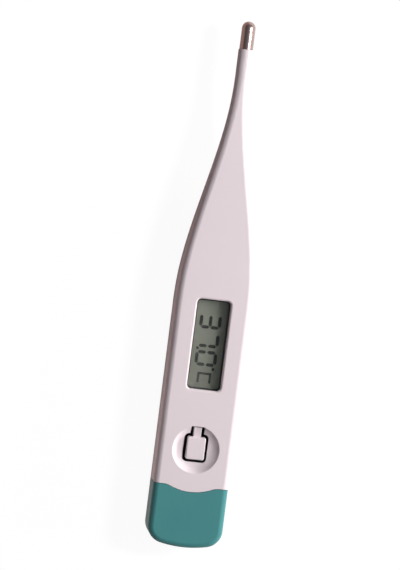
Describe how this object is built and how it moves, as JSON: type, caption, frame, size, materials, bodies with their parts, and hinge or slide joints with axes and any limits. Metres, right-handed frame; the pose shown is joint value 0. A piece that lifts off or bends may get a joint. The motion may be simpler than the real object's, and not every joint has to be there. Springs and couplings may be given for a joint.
{
  "type": "digital thermometer",
  "caption": "Rigid stick clinical thermometer: sideways display window, dished push button, pull-off battery cover and a metal sensor tip on a tapering stem.",
  "frame": {"origin": "centre of the flat back, under the middle of the length and width", "axes": "+X across the body, +Y towards the metal tip, +Z out of the display face"},
  "size_m": [0.0178, 0.1244, 0.0103],
  "materials": {
    "white_plastic": "satin white moulded plastic",
    "teal_plastic": "satin teal moulded plastic",
    "clear_plastic": "clear polished plastic",
    "stainless_steel": "drawn and polished",
    "carrier_plastic": "plain moulded",
    "board": "solder mask",
    "display_glass": "clear",
    "display_film": "grey green film",
    "display_reflector": "grey green reflector",
    "display_dark": "dark segments",
    "contact_rubber": "matte black",
    "spring_steel": "plated sheet",
    "cell_steel": "nickel plated",
    "chip_resin": "black resin",
    "component": "ceramic bodies",
    "brass": "bright sheet",
    "ceramic": "silvered ceramic",
    "sensor_resin": "cast resin",
    "sensor_glass": "glass bead",
    "lead_enamel": "enamelled wire",
    "solder": "solder"
  },
  "bodies": {
    "housing": {"housing": "white_plastic", "display_lens": "clear_plastic", "probe_tip": "stainless_steel", "tip_filler": "sensor_resin", "thermistor_bead": "sensor_glass"},
    "power_button": {"power_button": "white_plastic"},
    "battery_cover": {"battery_cover": "teal_plastic"},
    "carrier": {"carrier_frame": "carrier_plastic", "circuit_board": "board", "display_holder": "carrier_plastic", "display_segments": "display_dark", "front_polariser": "display_film", "front_glass": "display_glass", "rear_glass": "display_glass", "rear_reflector": "display_reflector", "zebra_strip": "contact_rubber", "switch_dome": "spring_steel", "rubber_key": "contact_rubber", "chip_blob": "chip_resin", "chip_components": "component", "buzzer_disc": "brass", "buzzer_ceramic": "ceramic", "buzzer_pins": "spring_steel", "battery_can": "cell_steel", "battery_gasket": "carrier_plastic", "battery_lid": "cell_steel", "battery_positive_contact": "spring_steel", "battery_negative_contact": "spring_steel", "lead_wires": "lead_enamel", "solder_joints": "solder"}
  },
  "joints": [
    {"name": "button_press", "type": "hinge", "parent": "housing", "child": "power_button", "pos_m": [0, -0.03395, 0.0089], "axis": [1, 0, 0], "range_deg": [0, 5], "stiffness_Nm_per_rad": 0.2, "deforming": ["rubber_key", "switch_dome"]},
    {"name": "carrier_slide", "type": "slide", "parent": "housing", "child": "carrier", "axis": [0, -1, 0], "range_m": [0, 0.01]},
    {"name": "cover_pull", "type": "slide", "parent": "carrier", "child": "battery_cover", "axis": [0, -1, 0], "range_m": [0, 0.03]}
  ]
}
